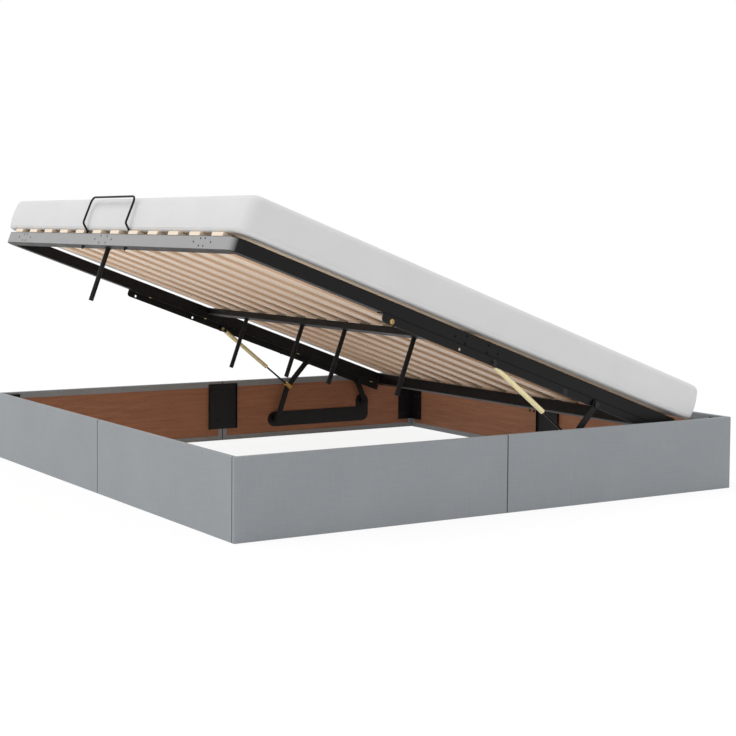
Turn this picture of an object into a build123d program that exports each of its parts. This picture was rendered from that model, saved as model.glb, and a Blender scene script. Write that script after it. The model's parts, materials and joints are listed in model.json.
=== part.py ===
from build123d import *
import os
from math import atan2, cos, degrees, hypot, radians, sin, sqrt

# Ottoman storage bed in millimetres: +X is one long side (the near one), -Y the foot end, +Z up.
# The origin is on the floor under the middle of the base.
# The slatted platform is drawn lying flat and closed, and is then raised to its open place.
# Places on the platform are given as s, from its foot end, and n, above the frame's underside.

# Base
base_width = 2030
base_length = 2070
base_height = 262
board = 12
cloth = 1.5
turn_in = 26
end_turn_in = 20
cloth_corner = 2
joint_gap = 0.6
wall = board + cloth + cloth

# Corner and joint plates inside the base
corner_leg = 77
corner_steel = 3
corner_top_gap = 9
corner_height = 215
joiner_share = 0.3
joiner_height = 200
joiner_steel = 2
joiner_lip = 9
joiner_top_gap = 11

# Platform frame
side_room = 33
foot_clearance = 30
head_clearance = 60
tube_height = 45
tube_width = 40
tube_wall = 1.5
tube_edge = 2
bend_radius = 46
bend_run = 96
cross_height = 25
cross_width = 40
tube_hole = 3.6
side_holes = ((94, 17), (48, 32), (48, 7))
middle_foot_holes = ((26, 36), (70, 24), (27, 11))
outer_foot_holes = ((15, 36), (58, 24), (15, 11))
foot_hole_edge = 210

# Legs under the platform
leg_radius = 8.5
leg_length = 194
leg_cap = 16
leg_floor_gap = 1
foot_leg_s = 30
inner_leg_x = 155
outer_leg_edge = 361

# Slats and their end caps
slats_in_a_row = 12
slats_in_a_node = 3
slat_width = 68
slat_thickness = 8
slat_rise = 4
slat_edge = 125
slat_end_gap = 2
cap_floor = 2.5
cap_roof = 1.5
cap_side = 2
cap_depth = 32
cap_slack = 0.6
seat_gap = 0.3

# Mattress
mattress_height = 131.5
mattress_foot_overhang = 5
mattress_head_overhang = 45
mattress_corner = 60
mattress_least_corner = 12
mattress_top_edge = 34
mattress_bottom_edge = 28
mattress_draw = 5
mattress_crown = 5
mattress_crown_inset = 360

# Mattress stop, a bent rod at the foot end
stop_radius = 3.8
stop_half_width = 183
stop_s = 11
stop_knee_s = -17
stop_knee_n = 79
stop_neck_n = 54
stop_top_s = -12.5
stop_top_n = 178
stop_bend = 14
stop_corner = 22
stop_tail = 11
nut_size = 7.5
nut_height = 5

# Angle irons that join the platform to the lift mechanism, with places counted from the head end
angle_steel = 4
angle_shelf = 3
angle_drop = 28
angle_length = 1355
angle_end_gap = 8
angle_round = 13
angle_bolt_back = 558
angle_ring_back = 1324
angle_hole_back = 1037
angle_hole = 5.5

# Lift linkage, with places counted from the head end
pivot_n = -17
front_pivot_back = 412
rear_pivot_back = 123
front_link_length = 300
rear_link_length = 110
link_steel = 5
link_width = 24
link_eye = 17
link_gap = 4
bracket_steel = 4
bracket_width = 66
pivot_pin = 6
pin_head = 10
head_height = 4.5
side_play = 0.3
pin_fit = 0.1
bolt_size = 8
bolt_head_height = 2.2

# Gas springs
gas_pivot_back = 887
gas_foot_reach = 150
gas_foot_drop = 19
gas_radius = 9
gas_rod = 4
gas_reach = 285
gas_neck = 22
gas_neck_width = 9
gas_eye = 8
gas_eye_width = 9
gas_pin = 4
gas_pin_head = 7
gas_pin_end = 3
gas_bore_gap = 0.3
gas_overlap = 30
gas_bore_spare = 8
gas_stud = 5
clevis_length = 26
clevis_height = 15
clevis_cheek = 4
clevis_web = 9
clevis_hole = 3.6
clevis_nose = 4

# How the platform opens: its head end rises and goes back, and it tilts
head_rise = 16.06
head_back = 148.2
open_tilt = 20

# One overrun for all cuts, and the sides of the small round holes and of the bent rod
over = 1
small_sides = 8
rod_sides = 12

# Places that follow from the sizes above
half_width = base_width / 2
half_length = base_length / 2
inner_x = half_width - wall
inner_y = half_length - wall
board_x = inner_x + cloth
frame_x = inner_x - side_room
foot_y = -inner_y + foot_clearance
frame_length = inner_y + inner_y - foot_clearance - head_clearance
mattress_width = inner_x + inner_x
mattress_length = frame_length + mattress_foot_overhang + mattress_head_overhang
frame_z = leg_length + leg_floor_gap
cross_s = frame_length / 2
slat_n = tube_height + cap_floor
cap_top_n = slat_n + slat_thickness + cap_slack + cap_roof
mattress_n = slat_n + slat_thickness + slat_rise + seat_gap
tube_x = frame_x - tube_width / 2
tube_inner_x = frame_x - tube_width
foot_hole_centre = frame_x - foot_hole_edge
outer_leg_x = frame_x - outer_leg_edge
slat_outer_x = frame_x - slat_edge
angle_start = frame_length - angle_end_gap - angle_length
angle_bolt_s = frame_length - angle_bolt_back
angle_ring_s = frame_length - angle_ring_back
angle_hole_s = frame_length - angle_hole_back
front_pivot_s = frame_length - front_pivot_back
rear_pivot_s = frame_length - rear_pivot_back
gas_pivot_s = frame_length - gas_pivot_back
lift_height = head_rise + frame_length * sin(radians(open_tilt))
lift_shift = head_back - frame_length * (1 - cos(radians(open_tilt)))

# Layers of the mechanism along X, from the frame out to the side board
flange_in = frame_x - angle_steel
link_in = frame_x + link_gap
link_out = link_in + link_steel
bracket_in = board_x - bracket_steel
gas_x = flange_in - side_play - side_play - gas_radius
clevis_in = gas_x - gas_radius + side_play
clevis_out = gas_x + gas_radius - side_play


def flat(s, n):
    """Y and Z of a place on the platform while it lies closed."""
    return foot_y + s, frame_z + n


def opened(s, n):
    """Y and Z of a place on the platform while it is raised."""
    tilt = radians(open_tilt)
    y = foot_y - lift_shift + s * cos(tilt) + n * sin(tilt)
    z = frame_z + lift_height - s * sin(tilt) + n * cos(tilt)
    return y, z


def lower_pivot(s, n, length):
    """The fixed lower end of a link that reaches the same platform pivot closed and raised."""
    y0, z0 = flat(s, n)
    y1, z1 = opened(s, n)
    span = hypot(y1 - y0, z1 - z0)
    reach = sqrt(length * length - span * span / 4)
    across = (z1 - z0) / span, (y0 - y1) / span
    down = reach if across[1] < 0 else -reach
    return (y0 + y1) / 2 + down * across[0], (z0 + z1) / 2 + down * across[1]


def bearing(start, end):
    """Angle in degrees of the line from one place to another, from +Y towards +Z."""
    return degrees(atan2(end[1] - start[1], end[0] - start[0]))


def distance(start, end):
    """Length of the line from one place to another."""
    return hypot(end[0] - start[0], end[1] - start[1])


def turned(place, centre, angle):
    """A place turned about a centre in the YZ plane, by degrees from +Y towards +Z."""
    y, z = place[0] - centre[0], place[1] - centre[1]
    a = radians(angle)
    return centre[0] + y * cos(a) - z * sin(a), centre[1] + y * sin(a) + z * cos(a)


front_closed = flat(front_pivot_s, pivot_n)
front_open = opened(front_pivot_s, pivot_n)
front_base = lower_pivot(front_pivot_s, pivot_n, front_link_length)
rear_closed = flat(rear_pivot_s, pivot_n)
rear_open = opened(rear_pivot_s, pivot_n)
rear_base = lower_pivot(rear_pivot_s, pivot_n, rear_link_length)
front_turn = bearing(front_base, front_closed) - bearing(front_base, front_open)
rear_turn = bearing(rear_base, rear_closed) - bearing(rear_base, rear_open)

gas_back = sqrt(gas_foot_reach * gas_foot_reach - gas_foot_drop * gas_foot_drop)
gas_foot_closed = (front_closed[0] - gas_back, front_closed[1] - gas_foot_drop)
gas_foot = turned(gas_foot_closed, front_base, -front_turn)
gas_top = opened(gas_pivot_s, pivot_n)
gas_top_closed = flat(gas_pivot_s, pivot_n)
gas_open_length = distance(gas_top, gas_foot)
gas_stroke = gas_open_length - distance(gas_top_closed, gas_foot_closed)
gas_turn = bearing(gas_top_closed, gas_foot_closed) - bearing(gas_top, gas_foot) - open_tilt
joiner_half = (front_base[0] - bracket_width / 2) * joiner_share


# Shapes that several pieces use
def block(x0, x1, y0, y1, z0, z1):
    """A box between two opposite corners."""
    return Pos((x0 + x1) / 2, (y0 + y1) / 2, (z0 + z1) / 2) * Box(x1 - x0, y1 - y0, z1 - z0)


def rod_x(x0, x1, place, radius):
    """A round bar along X between x0 and x1."""
    return Pos((x0 + x1) / 2, place[0], place[1]) * Rot(0, 90, 0) * Cylinder(radius, x1 - x0)


def rod_z(x, y, z0, z1, radius):
    """A round bar along Z between z0 and z1."""
    return Pos(x, y, (z0 + z1) / 2) * Cylinder(radius, z1 - z0)


def nut_x(x0, x1, place, size):
    """A hexagon nut or bolt head along X."""
    return extrude(Plane.YZ.offset(x0) * Pos(*place) * RegularPolygon(size, 6), x1 - x0)


def small_x(x0, x1, place, radius):
    """A small round bar along X, with few sides."""
    return extrude(Plane.YZ.offset(x0) * Pos(*place) * RegularPolygon(radius, small_sides), x1 - x0)


def arm(start, end, width):
    """The outline of a straight bar with round ends, centred on two places."""
    middle = Pos((start[0] + end[0]) / 2, (start[1] + end[1]) / 2)
    return middle * Rot(0, 0, bearing(start, end)) * SlotCenterToCenter(distance(start, end), width)


def dot(place, radius):
    """A filled circle around a place."""
    return Pos(*place) * Circle(radius)


def plate_x(outline, x0, steel):
    """A plate across X whose outline is drawn in Y and Z."""
    return extrude(Plane.YZ.offset(x0) * outline, steel)


def far(shape):
    """The same piece on the far side."""
    return mirror(shape, about=Plane.YZ)


def raised(shape):
    """A piece of the closed platform, moved to its open place."""
    home = Pos(0, -front_closed[0], -front_closed[1]) * shape
    return Pos(0, *front_open) * Rot(-open_tilt, 0, 0) * home


def group(shapes):
    """Separate solids that share one node."""
    return Compound(children=[solid for shape in shapes for solid in shape.solids()])


def both(shape):
    """A near piece and its far copy in one node."""
    return group([shape, far(shape)])


nodes = {}


# Base boards and their covers, in eight panels
def panel(name, side, x0, x1, y0, y1, window):
    """A board and its cloth cover, which is turned in round the edges of the inner face."""
    core = block(x0 + cloth, x1 - cloth, y0 + cloth, y1 - cloth, cloth, base_height - cloth)
    skin = block(x0, x1, y0, y1, 0, base_height)
    rim = skin.edges().filter_by(Axis.Z) + skin.edges().group_by(Axis.Z)[-1]
    nodes[f"{name}_board_{side}"] = core
    nodes[f"{name}_cover_{side}"] = chamfer(rim, cloth_corner) - core - window


window_top = base_height - turn_in
for name, end in (("foot", -1), ("head", 1)):
    y_in, y_out = end * inner_y, end * half_length
    for side, hand in (("far", -1), ("near", 1)):
        x0, x1 = sorted((hand * joint_gap / 2, hand * inner_x))
        w0, w1 = sorted((y_in, y_in + end * cloth))
        window = block(x0 + end_turn_in, x1 - end_turn_in, w0, w1, end_turn_in, window_top)
        panel(name, side, x0, x1, *sorted((y_in, y_out)), window)
for name, hand in (("far", -1), ("near", 1)):
    x_in, x_out = hand * inner_x, hand * half_width
    for side, end in (("foot", -1), ("head", 1)):
        y0, y1 = sorted((end * joint_gap / 2, end * half_length))
        w0, w1 = sorted((x_in, x_in + hand * cloth))
        window = block(w0, w1, y0 + end_turn_in, y1 - wall - end_turn_in, end_turn_in, window_top)
        if end < 0:
            window = block(w0, w1, y0 + wall + end_turn_in, y1 - end_turn_in, end_turn_in, window_top)
        panel(name, side, *sorted((x_in, x_out)), y0, y1, window)

# Steel plates that hold the panels together
corner_top = base_height - corner_top_gap
corner_low = corner_top - corner_height
corner = block(inner_x - corner_leg, inner_x, inner_y - corner_steel, inner_y, corner_low, corner_top)
corner += block(inner_x - corner_steel, inner_x, inner_y - corner_leg, inner_y, corner_low, corner_top)
head_corners = [corner, far(corner)]
nodes["corner_brackets"] = group(head_corners + [mirror(c, about=Plane.XZ) for c in head_corners])


def joiner(at, side_turn):
    """A plate with raised edges over the seam between two panels."""
    top = base_height - joiner_top_gap
    plate = block(at - joiner_steel, at, -joiner_half, joiner_half, top - joiner_height, top)
    for y0 in (-joiner_half, joiner_half - joiner_steel):
        plate += block(at - joiner_lip, at, y0, y0 + joiner_steel, top - joiner_height, top)
    return Rot(0, 0, side_turn) * plate


side_turns = ((inner_x, 0), (inner_y, 90), (inner_x, 180), (inner_y, 270))
nodes["joiner_plates"] = group([joiner(at, side_turn) for at, side_turn in side_turns])

# Lift mechanism on the base
rail_end = (rear_base[0], front_base[1])
outline = arm(front_base, rail_end, bracket_width) + arm(rail_end, rear_base, bracket_width)
lift_bracket = plate_x(outline, bracket_in, bracket_steel)
nodes["lift_bracket_near"] = lift_bracket
nodes["lift_bracket_far"] = far(lift_bracket)

base_pins = []
for place in (front_base, rear_base):
    pin = rod_x(link_in - side_play, link_out + side_play, place, pivot_pin)
    pin += nut_x(link_out + side_play, bracket_in, place, pin_head)
    pin += nut_x(frame_x + side_play + pin_fit, link_in - side_play, place, pin_head)
    base_pins += [pin, far(pin)]
nodes["base_pivot_pins"] = group(base_pins)

# Links
outline = arm(gas_foot, front_open, link_width) + arm(gas_foot, front_base, link_width)
outline += dot(front_open, link_eye) + dot(front_base, link_eye)
outline -= dot(front_open, pivot_pin + pin_fit) + dot(front_base, pivot_pin + pin_fit)
front_link = plate_x(outline, link_in, link_steel)
front_link += rod_x(clevis_out + side_play, link_in, gas_foot, gas_stud)
nodes["front_link_near"] = front_link
nodes["front_link_far"] = far(front_link)

outline = arm(rear_base, rear_open, link_width) + dot(rear_base, link_eye) + dot(rear_open, link_eye)
outline -= dot(rear_base, pivot_pin + pin_fit)
rear_link = plate_x(outline, link_in, link_steel)
rear_link += rod_x(frame_x + side_play, link_in, rear_open, pivot_pin)
nodes["rear_link_near"] = rear_link
nodes["rear_link_far"] = far(rear_link)


# Platform frame, drawn flat
def tube_outside(width, height):
    """The outline of a rectangular tube, with its edges broken."""
    return chamfer(Rectangle(width, height).vertices(), tube_edge)


def tube_inside(width, height):
    """The hollow section of a rectangular tube."""
    return Rectangle(width - tube_wall - tube_wall, height - tube_wall - tube_wall)


def bow(inset, reach):
    """The foot end's outline in plan with its round corners, inset from the outer faces of the tube."""
    x, y0, y1 = frame_x - inset, foot_y + inset, foot_y + reach
    outline = Polygon((-x, y1), (-x, y0), (x, y0), (x, y1), align=None)
    return fillet(outline.vertices().group_by(Axis.Y)[0], bend_radius - inset)


def bent_tube():
    """The foot tube with its two bent corners."""
    outside = bow(0, bend_run) - bow(tube_width, bend_run + over)
    tube = extrude(Plane.XY.offset(frame_z) * outside, tube_height)
    rims = tube.edges().group_by(Axis.Z)
    tube = chamfer((rims[0] + rims[-1]).filter_by_position(Axis.Y, foot_y - over, foot_y + bend_run - over), tube_edge)
    inside = bow(tube_wall, bend_run + over) - bow(tube_width - tube_wall, bend_run + over + over)
    hollow = Plane.XY.offset(frame_z + tube_wall) * inside
    return tube - extrude(hollow, tube_height - tube_wall - tube_wall)


foot_tube = bent_tube()
head_tube = mirror(foot_tube, about=Plane.XZ.offset(-foot_y - cross_s))
for centre, table in ((-foot_hole_centre, outer_foot_holes), (0, middle_foot_holes),
                      (foot_hole_centre, outer_foot_holes)):
    for x, n in table:
        for place in ((centre - x, n), (centre + x, n)):
            hole = Plane.XZ.offset(-foot_y - tube_wall) * Pos(place[0], frame_z + place[1])
            foot_tube -= extrude(hole * RegularPolygon(tube_hole, small_sides), tube_wall + over)

stop_points = [(stop_half_width, *flat(stop_s, -stop_tail)), (stop_half_width, *flat(stop_s, stop_neck_n)),
               (stop_half_width, *flat(stop_knee_s, stop_knee_n)),
               (stop_half_width, *flat(stop_top_s, stop_top_n))]
stop_points += [(-x, y, z) for x, y, z in reversed(stop_points)]
stop_radii = [stop_bend, stop_bend, stop_corner, stop_corner, stop_bend, stop_bend]
stop_path = FilletPolyline(*stop_points, radius=stop_radii)
stop_start = Plane(origin=stop_path @ 0, z_dir=stop_path % 0)
stop = sweep(stop_start * RegularPolygon(stop_radius, rod_sides), path=stop_path)
foot_tube -= stop
nodes["foot_tube"] = raised(foot_tube)
nodes["head_tube"] = raised(head_tube)
nodes["mattress_stop"] = raised(stop)
stop_nuts = []
for x in (-stop_half_width, stop_half_width):
    nut = Pos(x, foot_y + stop_s, frame_z - nut_height) * RegularPolygon(nut_size, 6)
    stop_nuts.append(extrude(nut, nut_height) - stop)
nodes["stop_nuts"] = raised(group(stop_nuts))

side_section = Plane.XZ.offset(-foot_y - bend_run) * Pos(tube_x, frame_z + tube_height / 2)
side_run = bend_run + bend_run - frame_length
side_tube = extrude(side_section * tube_outside(tube_width, tube_height), side_run)
side_tube -= extrude(side_section * tube_inside(tube_width, tube_height), side_run)
for offset, n in side_holes:
    for s in (cross_s - offset, cross_s + offset):
        side_tube -= small_x(frame_x - tube_wall - over, frame_x + over, flat(s, n), tube_hole)
nodes["side_tube_near"] = raised(side_tube)
nodes["side_tube_far"] = raised(far(side_tube))

cross_plane = Plane.YZ.offset(-tube_inner_x) * Pos(*flat(cross_s, tube_height - cross_height / 2))
cross_tube = extrude(cross_plane * tube_outside(cross_width, cross_height), tube_inner_x * 2)
cross_tube -= extrude(cross_plane * tube_inside(cross_width, cross_height), tube_inner_x * 2)
nodes["cross_tube"] = raised(cross_tube)


# Legs and their end caps
def leg_at(x, s, top_n):
    """A leg under the platform, and its end cap."""
    y, z_cap = flat(s, leg_cap - leg_length)
    leg = rod_z(x, y, z_cap, frame_z + top_n, leg_radius)
    return leg, rod_z(x, y, z_cap - leg_cap, z_cap, leg_radius)


foot_leg, foot_cap = leg_at(0, foot_leg_s, 0)
nodes["foot_leg"] = raised(foot_leg)
caps = [foot_cap]
for number, x in enumerate((-outer_leg_x, -inner_leg_x, inner_leg_x, outer_leg_x), start=1):
    leg, cap = leg_at(x, cross_s, tube_height - cross_height)
    nodes[f"cross_leg_{number}"] = raised(leg)
    caps.append(cap)
nodes["leg_caps"] = raised(group(caps))

# Angle irons under the side tubes
(y0, z0), (y1, z1) = flat(angle_start, -angle_drop), flat(frame_length - angle_end_gap, 0)
outline = Pos((y0 + y1) / 2, (z0 + z1) / 2) * Rectangle(y1 - y0, z1 - z0)
outline = fillet(outline.vertices().group_by(Axis.Y)[0].sort_by(Axis.X)[0], angle_round)
for s in (angle_ring_s, angle_hole_s):
    outline -= dot(flat(s, pivot_n), angle_hole)
angle = plate_x(outline, flange_in, angle_steel)
angle += block(tube_inner_x, flange_in, y0, y1, z1 - angle_shelf, z1)
nodes["lift_angle_near"] = raised(angle)
nodes["lift_angle_far"] = raised(far(angle))

# Pins and bolts on the angle irons
place = flat(front_pivot_s, pivot_n)
pin = rod_x(frame_x, link_out + side_play, place, pivot_pin)
pin += nut_x(frame_x, link_in - side_play, place, pin_head)
pin += rod_x(link_out + side_play, link_out + side_play + head_height, place, pin_head)
bolts = [pin]
for s in (front_pivot_s, rear_pivot_s):
    bolts.append(nut_x(flange_in - nut_height, flange_in, flat(s, pivot_n), bolt_size))
nodes["platform_pivot_pins"] = raised(both(group(bolts)))

bolt = nut_x(frame_x, frame_x + bolt_head_height, flat(angle_bolt_s, pivot_n), bolt_size)
nodes["angle_bolts"] = raised(both(bolt))

place = flat(gas_pivot_s, pivot_n)
eye_in, eye_out = gas_x - gas_eye_width / 2, gas_x + gas_eye_width / 2
pin = rod_x(eye_in - side_play, flange_in, place, gas_pin)
pin += nut_x(eye_out + side_play, flange_in, place, gas_pin_head)
pin += nut_x(eye_in - side_play - gas_pin_end, eye_in - side_play, place, gas_pin_head)
nodes["gas_pivot_pins"] = raised(both(pin))

# Slats with their end caps, in two rows
slat_pitch = slat_outer_x * 2 / (slats_in_a_row - 1)
slat_places = [slat_pitch * number - slat_outer_x for number in range(slats_in_a_row)]


def slat(x, s0, s1):
    """A slat bowed upwards between two places along the platform."""
    (y0, z0), (y1, z1) = flat(s0, slat_n), flat(s1, slat_n)
    middle = (y0 + y1) / 2
    under = Spline((y0, z0), (middle, z0 + slat_rise), (y1, z1))
    above = Spline((y0, z0 + slat_thickness), (middle, z0 + slat_thickness + slat_rise),
                   (y1, z1 + slat_thickness))
    ends = [Line(under @ 0, above @ 0), Line(under @ 1, above @ 1)]
    side = make_face([under, above] + ends)
    return extrude(Plane.YZ.offset(x - slat_width / 2) * side, slat_width)


def end_cap(x, s0, s1, slat_s0, slat_s1):
    """The plastic cap that holds a slat's end on its tube."""
    half = slat_width / 2
    y0, z0 = flat(s0, tube_height)
    y1, z1 = flat(s1, cap_top_n)
    cap = block(x - half - cap_side, x + half + cap_side, y0, y1, z0, z1)
    pocket_y0, pocket_z0 = flat(slat_s0, slat_n)
    pocket_y1, pocket_z1 = flat(slat_s1, slat_n + slat_thickness + cap_slack)
    return cap - block(x - half, x + half, pocket_y0, pocket_y1, pocket_z0, pocket_z1)


cross_middle = Plane.XZ.offset(-foot_y - cross_s)
s0, s1 = slat_end_gap, cross_s - slat_end_gap
foot_row = [slat(x, s0, s1) for x in slat_places]
foot_caps = [end_cap(x, 0, cap_depth, s0, cap_depth + over) for x in slat_places]
cross_caps = [end_cap(x, cross_s - cross_width / 2, cross_s, s1 - cap_depth, s1) for x in slat_places]
head_row = [mirror(piece, about=cross_middle) for piece in foot_row]
for row, slats in (("foot", foot_row), ("head", head_row)):
    for first in range(0, slats_in_a_row, slats_in_a_node):
        number = first // slats_in_a_node + 1
        nodes[f"{row}_slats_{number}"] = raised(group(slats[first:first + slats_in_a_node]))
nodes["foot_slat_caps"] = raised(group(foot_caps))
nodes["cross_slat_caps"] = raised(group(cross_caps + [mirror(cap, about=cross_middle) for cap in cross_caps]))
nodes["head_slat_caps"] = raised(group([mirror(cap, about=cross_middle) for cap in foot_caps]))

# Mattress, a stack of rounded outlines that bulge between the edges and crown at the top
edge_steps = 3
shoulder = mattress_height - mattress_crown
rings = []
for step in range(edge_steps + 1):
    a = radians(90 * step / edge_steps)
    rings.append((mattress_bottom_edge * (1 - cos(a)), mattress_draw + mattress_bottom_edge * (1 - sin(a))))
rings.append((mattress_height / 2, 0))
for step in range(edge_steps + 1):
    a = radians(90 * step / edge_steps)
    level = shoulder - mattress_top_edge * (1 - sin(a))
    rings.append((level, mattress_draw + mattress_top_edge * (1 - cos(a))))
crown_start = mattress_draw + mattress_top_edge
crown_span = mattress_crown_inset - crown_start
for share in (1 / 4, 1 / 2, 1):
    rings.append((shoulder + mattress_crown * share * (2 - share), crown_start + crown_span * share))
mattress_s = mattress_length / 2 - mattress_foot_overhang
sections = []
for level, inset in rings:
    place = Pos(0, *flat(mattress_s, mattress_n + level))
    radius = max(mattress_corner - inset, mattress_least_corner)
    size = mattress_width - inset * 2, mattress_length - inset * 2
    sections.append(place * RectangleRounded(*size, radius))
nodes["mattress"] = raised(loft(sections, ruled=True))


# Gas springs, drawn along Y from the top pivot and then laid between their two pivots
def gas_place(shape):
    """A gas spring piece drawn along +Y from the origin, laid from the top pivot to the lower one."""
    return Pos(gas_x, *gas_top) * Rot(bearing(gas_top, gas_foot), 0, 0) * shape


def rod_y(y0, y1, radius):
    """A round bar along Y between y0 and y1."""
    return Pos(0, (y0 + y1) / 2, 0) * Rot(90, 0, 0) * Cylinder(radius, y1 - y0)


rod_start = gas_reach - gas_overlap
clevis_start = gas_open_length - clevis_length
bore_start = rod_start - gas_stroke - gas_bore_spare
cylinder = rod_y(gas_neck, gas_reach, gas_radius)
cylinder -= rod_y(bore_start, gas_reach + over, gas_rod + gas_bore_gap)
nodes["gas_cylinder_near"] = gas_place(cylinder)
nodes["gas_cylinder_far"] = far(gas_place(cylinder))

half_eye, half_neck = gas_eye_width / 2, gas_neck_width / 2
eye = rod_x(-half_eye, half_eye, (0, 0), gas_eye)
eye += block(-half_eye, half_eye, 0, gas_neck, -half_neck, half_neck)
eye -= rod_x(-half_eye - over, half_eye + over, (0, 0), gas_pin + pin_fit)
nodes["gas_eyes"] = both(gas_place(eye))
nodes["gas_rods"] = both(gas_place(rod_y(rod_start, clevis_start, gas_rod)))

half_clevis = clevis_out - gas_x
half_height = clevis_height / 2
clevis_end = gas_open_length + half_height
clevis = block(-half_clevis, half_clevis, clevis_start, clevis_end, -half_height, half_height)
clevis = chamfer(clevis.edges().filter_by(Axis.X).group_by(Axis.Y)[-1], clevis_nose)
slot = half_clevis - clevis_cheek
clevis -= block(-slot, slot, clevis_start + clevis_web, clevis_end + over, -clevis_height, clevis_height)
clevis -= rod_x(-half_clevis - over, half_clevis + over, (gas_open_length, 0), clevis_hole)
nodes["gas_clevises"] = both(gas_place(clevis))

os.makedirs("parts", exist_ok=True)
for name, shape in nodes.items():
    export_step(shape, f"parts/{name}.step")
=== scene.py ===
import json
from math import cos, pi, radians, sin

import bpy
from mathutils import Matrix, Vector
from mathutils.bvhtree import BVHTree


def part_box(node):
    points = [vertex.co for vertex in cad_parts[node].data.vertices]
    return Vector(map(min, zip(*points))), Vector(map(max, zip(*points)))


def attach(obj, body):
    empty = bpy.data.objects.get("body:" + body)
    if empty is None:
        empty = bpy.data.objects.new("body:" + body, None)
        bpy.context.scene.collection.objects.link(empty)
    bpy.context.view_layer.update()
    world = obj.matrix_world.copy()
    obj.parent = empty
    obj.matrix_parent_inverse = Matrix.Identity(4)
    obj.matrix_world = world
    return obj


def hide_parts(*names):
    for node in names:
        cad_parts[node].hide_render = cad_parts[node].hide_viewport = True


bl_info = {
    "name": "Ottoman storage bed",
    "version": (1, 0, 0),
    "blender": (4, 5, 0),
    "location": "3D View > Sidebar > Storage bed",
    "description": "Dresses the packed bed with its mattress, finishes, fasteners and stage",
    "category": "Object",
}

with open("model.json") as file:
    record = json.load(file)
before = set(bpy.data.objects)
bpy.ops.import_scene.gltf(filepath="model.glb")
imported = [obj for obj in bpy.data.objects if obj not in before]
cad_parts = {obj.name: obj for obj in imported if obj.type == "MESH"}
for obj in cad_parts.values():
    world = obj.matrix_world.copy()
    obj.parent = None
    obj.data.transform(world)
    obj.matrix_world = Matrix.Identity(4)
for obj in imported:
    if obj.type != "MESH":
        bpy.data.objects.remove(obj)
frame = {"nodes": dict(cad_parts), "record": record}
NODES = frame["nodes"]
SLOT_OF = {row["node"]: row["material_slot"] for row in frame["record"]["subparts"]}
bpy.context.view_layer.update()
MM = 0.001

# The open platform. Its own measures are millimetres: x across, s along it from its foot end, and
# n up from the underside of its frame.
OPEN_TILT = radians(20)
PLATFORM_FOOT = Vector((0.0, -1020.6, 878.0))
ALONG = Vector((0.0, cos(OPEN_TILT), -sin(OPEN_TILT)))
UPWARD = Vector((0.0, sin(OPEN_TILT), cos(OPEN_TILT)))
ACROSS = Vector((1.0, 0.0, 0.0))

# Welds on the platform: round the tops of the legs, and round the ends of the cross tube
LEGS = ((0.0, 30.0, 0.0), *((x, 975.0, 20.0) for x in (-606.0, -155.0, 155.0, 606.0)))
LEG_RADIUS = 9.0
CROSS_TUBE_END = 926.4
CROSS_TUBE_S = (955.5, 965.0, 975.0, 985.0, 994.5)
CROSS_TUBE_N = (20.0, 26.0, 32.0, 38.0, 44.5)

# Places on the lift angles, on the platform
ANGLE_FACE, NUT_FACE, ANGLE_HOLES_N = 967.0, 967.9, -17.0
ANGLE_BOLT_S, GAS_PIVOT_S, ANGLE_EYELET_S = 1392.0, 1063.0, 626.0
ANGLE_SCREWS_X, ANGLE_SCREWS_S, ANGLE_SCREWS_N = 938.0, (680.0, 960.0, 1460.0, 1880.0), -3.0

# The base, in metres: half its clear width and length, the cloth's thickness, and the steel and
# the rows of screws of the plates on its boards
INNER_X, INNER_Y = 1.000, 1.020
CLOTH = 0.0015
CORNER_STEEL, CORNER_REACHES, CORNER_HEIGHTS = 0.003, (0.024, 0.058), (0.222, 0.146, 0.070)
JOINER_STEEL, JOINER_REACHES, JOINER_HEIGHTS = 0.002, (-0.052, -0.018, 0.018, 0.052), (0.222, 0.086)
BRACKET_FACE, BRACKET_Y, BRACKET_Z = 0.9975, (0.335, 0.435, 0.535, 0.635), (0.0964, 0.0604)
HEAD_BOARD_SCREWS_X, HEAD_BOARD_SCREWS_Z = (-0.120, -0.094), 0.167

# The seams of the cover, in millimetres: where the end panels are joined to the side panels, the
# place of the end faces, and how far from a seam's middle its painted shade is full and gone
COVER_CORNER_X = 1000.0
COVER_END_Y = (1028.0, 1031.0)
SEAM_SHADE = (1.4, 2.8)

# The mattress: its corners in order, where the cream panel under it ends at the sides, and how far
# its taped seam is sunk into it, as a share of the cord's radius
MATTRESS_CORNERS = ((1, 1), (-1, 1), (-1, -1), (1, -1))
PANEL_EDGE = (928.0, 934.0)
SEAM_SUNK = 0.45


def on_platform(x, s, n):
    """The place in metres of a point given on the platform in millimetres."""
    return (PLATFORM_FOOT + ACROSS * x + ALONG * s + UPWARD * n) * MM


def from_platform(point):
    """The platform's own x, s and n in millimetres of a place in metres."""
    offset = point / MM - PLATFORM_FOOT
    return offset.x, offset.dot(ALONG), offset.dot(UPWARD)


def linear(code):
    """An sRGB hex colour as linear red, green, blue and alpha."""
    channels = [int(code[place:place + 2], 16) / 255 for place in (1, 3, 5)]
    return (*[c / 12.92 if c <= 0.04045 else ((c + 0.055) / 1.055) ** 2.4 for c in channels], 1.0)


# Settings
def length_property(name, description, default):
    """A size in metres that a user can change."""
    return bpy.props.FloatProperty(name=name, description=description, default=default, min=0.0,
                                   unit="LENGTH", subtype="DISTANCE")


def colour_property(name, description, code):
    """A colour that a user can change."""
    return bpy.props.FloatVectorProperty(name=name, description=description, default=linear(code),
                                         size=4, min=0.0, max=1.0, subtype="COLOR")


def strength_property(name, description, default, **limits):
    """The strength of a light that a user can change."""
    return bpy.props.FloatProperty(name=name, description=description, default=default, min=0.0,
                                   **limits)


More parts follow.
